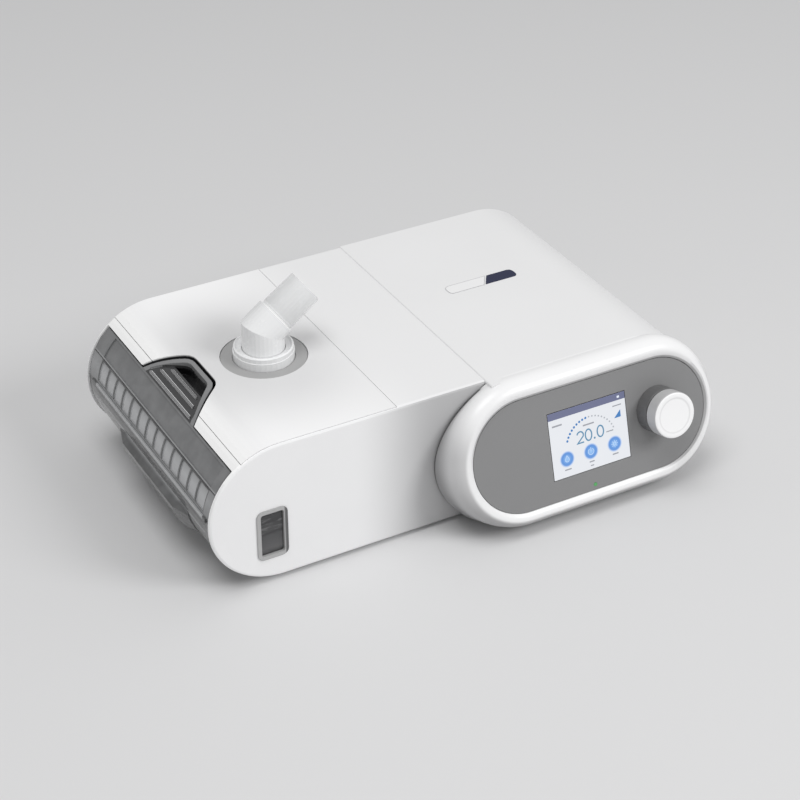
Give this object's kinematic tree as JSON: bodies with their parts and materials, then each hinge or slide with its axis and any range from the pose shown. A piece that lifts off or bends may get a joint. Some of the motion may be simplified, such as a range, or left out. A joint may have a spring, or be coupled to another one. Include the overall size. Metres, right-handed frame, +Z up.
{
  "type": "bilevel positive airway pressure machine",
  "caption": "Bedside breathing machine with a tilted screen and press-and-turn knob, a heated humidifier with a slide-out water chamber, and a swivelling hose elbow.",
  "frame": {"origin": "middle of the machine's bounding box, at the underside of the feet", "axes": "+X to the right along the machine's length, +Y to the back, +Z up; the screen and the knob face -Y"},
  "size_m": [0.319, 0.2212, 0.1365],
  "materials": {
    "white_plastic": "satin",
    "grey_plastic": "satin",
    "smoke_plastic": "glossy, translucent",
    "clear_plastic": "glossy, translucent",
    "dark_screen": "glossy",
    "rubber": "matte",
    "aluminium": "satin",
    "steel": "brushed",
    "board": "matte",
    "black_plastic": "matte",
    "green_light": "glossy",
    "filter_foam": "matte"
  },
  "bodies": {
    "machine": {"humidifier_shell": "white_plastic", "humidifier_cover": "white_plastic", "main_case": "white_plastic", "front_bezel": "white_plastic", "rear_panel": "white_plastic", "humidifier_base": "white_plastic", "main_base": "white_plastic", "port_deck": "white_plastic", "bay_bulkhead": "white_plastic", "dock_wall": "white_plastic", "dock_plate": "white_plastic", "front_fascia": "grey_plastic", "knob_collar": "grey_plastic", "port_bezel": "grey_plastic", "window_frame": "grey_plastic", "blower_base": "grey_plastic", "blower_cover": "grey_plastic", "transfer_duct": "grey_plastic", "port_collar": "clear_plastic", "display_window": "dark_screen", "window_lens": "dark_screen", "port_seal": "rubber", "dock_seal": "rubber", "heater_insulator": "rubber", "blower_outlet": "rubber", "blower_mount_1": "rubber", "blower_mount_2": "rubber", "blower_mount_3": "rubber", "rubber_foot_1": "rubber", "rubber_foot_2": "rubber", "rubber_foot_3": "rubber", "rubber_foot_4": "rubber", "rubber_foot_5": "rubber", "rubber_foot_6": "rubber", "rubber_foot_7": "rubber", "rubber_foot_8": "rubber", "heater_plate": "aluminium", "motor": "aluminium", "encoder_body": "aluminium", "card_reader": "steel", "display_module": "steel", "display_board": "board", "main_board": "board", "dock_plug": "black_plastic", "dock_socket": "black_plastic", "dc_inlet": "black_plastic", "status_led": "green_light", "air_filter": "filter_foam"},
    "chamber": {"chamber_lid": "smoke_plastic", "chamber_tub": "smoke_plastic", "chamber_seal": "rubber", "chamber_plate": "aluminium"},
    "elbow": {"elbow": "clear_plastic"},
    "knob_slider": {"encoder_slider": "black_plastic"},
    "knob": {"knob": "white_plastic", "encoder_shaft": "steel"},
    "impeller": {"impeller": "white_plastic", "motor_shaft": "steel"},
    "filter_cover": {"filter_cover": "white_plastic"},
    "card_door": {"card_door": "white_plastic"}
  },
  "joints": [
    {"name": "chamber_slide", "type": "slide", "parent": "machine", "child": "chamber", "axis": [-1, 0, 0], "range_m": [0, 0.12]},
    {"name": "elbow_swivel", "type": "hinge", "parent": "machine", "child": "elbow", "pos_m": [-0.0815, 0.01861, 0.0905], "axis": [0, 0, 1], "continuous": true},
    {"name": "knob_press", "type": "slide", "parent": "machine", "child": "knob_slider", "axis": [0, 0.9613, -0.2756], "range_m": [0, 0.0006], "stiffness_N_per_m": 2000},
    {"name": "knob_turn", "type": "hinge", "parent": "knob_slider", "child": "knob", "pos_m": [0.119, -0.08942, 0.05205], "axis": [0, -0.9613, 0.2756], "continuous": true},
    {"name": "impeller_spin", "type": "hinge", "parent": "machine", "child": "impeller", "pos_m": [0.101, 0.03161, 0.0335], "axis": [0, 0, 1], "continuous": true},
    {"name": "filter_cover_hinge", "type": "hinge", "parent": "machine", "child": "filter_cover", "pos_m": [0.111, 0.10891, 0.0265], "axis": [-1, 0, 0], "range_deg": [0, 75]},
    {"name": "card_door_hinge", "type": "hinge", "parent": "machine", "child": "card_door", "pos_m": [0.059, 0.10981, 0.02615], "axis": [-1, 0, 0], "range_deg": [0, 85]}
  ]
}
